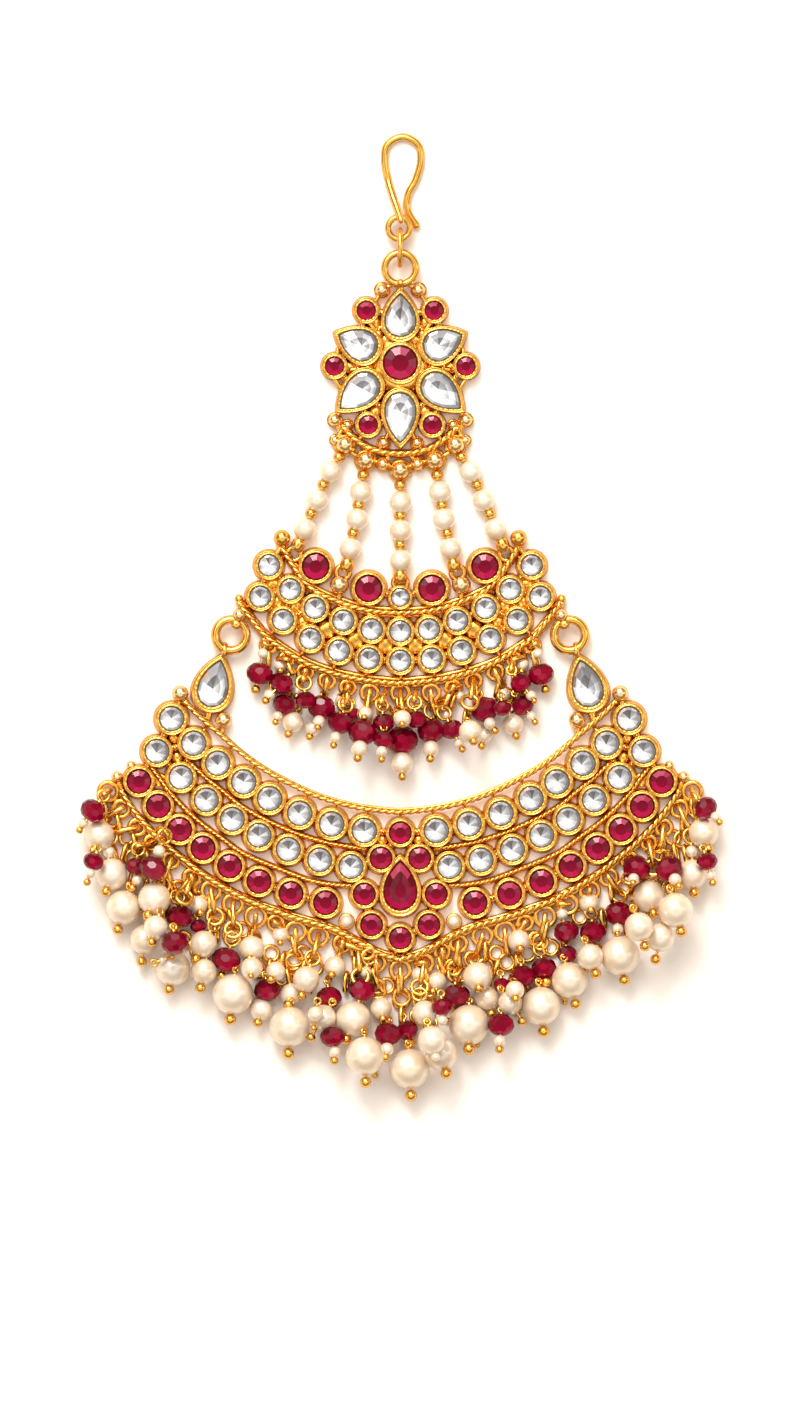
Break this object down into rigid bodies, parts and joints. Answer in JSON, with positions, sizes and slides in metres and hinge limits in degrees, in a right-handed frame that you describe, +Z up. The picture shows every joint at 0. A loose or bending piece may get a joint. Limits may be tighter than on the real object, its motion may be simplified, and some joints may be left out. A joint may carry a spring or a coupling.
{
  "type": "jhoomar hair ornament",
  "caption": "Side hair ornament: a hook, a rosette and two crescent plates set with clear and red stones, hung with pearl strings and a fringe of pearl and ruby bead drops.",
  "frame": {"origin": "middle of the bounding box's underside, on the surface the ornament lies on", "axes": "+X to the right of the front, +Y towards the hook, +Z up out of the front"},
  "size_m": [0.0957, 0.1451, 0.0111],
  "materials": {
    "gold": "polished warm gold plate over brass",
    "clear_stone": "foiled clear stones with a high polish",
    "ruby": "polished dark red stones and faceted beads",
    "beads": "cream pearls with a soft lustre, on gold pins"
  },
  "bodies": {
    "root": {"hook": "gold", "hook_ring": "gold", "link": "gold", "rosette_frame": "gold", "middle_plate": "gold", "lower_plate": "gold", "side_ring_left": "gold", "side_ring_right": "gold", "petal_stone_1": "clear_stone", "petal_stone_2": "clear_stone", "petal_stone_3": "clear_stone", "petal_stone_4": "clear_stone", "petal_stone_5": "clear_stone", "petal_stone_6": "clear_stone", "side_stone_left": "clear_stone", "side_stone_right": "clear_stone", "rosette_ruby": "ruby", "centre_ruby": "ruby", "pearl_string_1": "beads", "pearl_string_2": "beads", "pearl_string_3": "beads", "pearl_string_4": "beads", "pearl_string_5": "beads", "drop_01": "beads", "drop_02": "beads", "drop_03": "beads", "drop_04": "beads", "drop_05": "beads", "drop_06": "beads", "drop_07": "beads", "drop_08": "beads", "drop_09": "beads", "drop_10": "beads", "drop_11": "beads", "drop_12": "beads", "drop_13": "beads", "drop_14": "beads", "drop_15": "beads", "drop_16": "beads", "drop_17": "beads", "drop_18": "beads", "drop_19": "beads", "drop_20": "beads", "drop_21": "beads", "drop_22": "beads", "drop_23": "beads", "drop_24": "beads", "drop_25": "beads", "drop_26": "beads", "drop_27": "beads", "drop_28": "beads", "drop_29": "beads", "drop_30": "beads", "drop_31": "beads", "drop_32": "beads", "drop_33": "beads", "drop_34": "beads"}
  },
  "joints": []
}
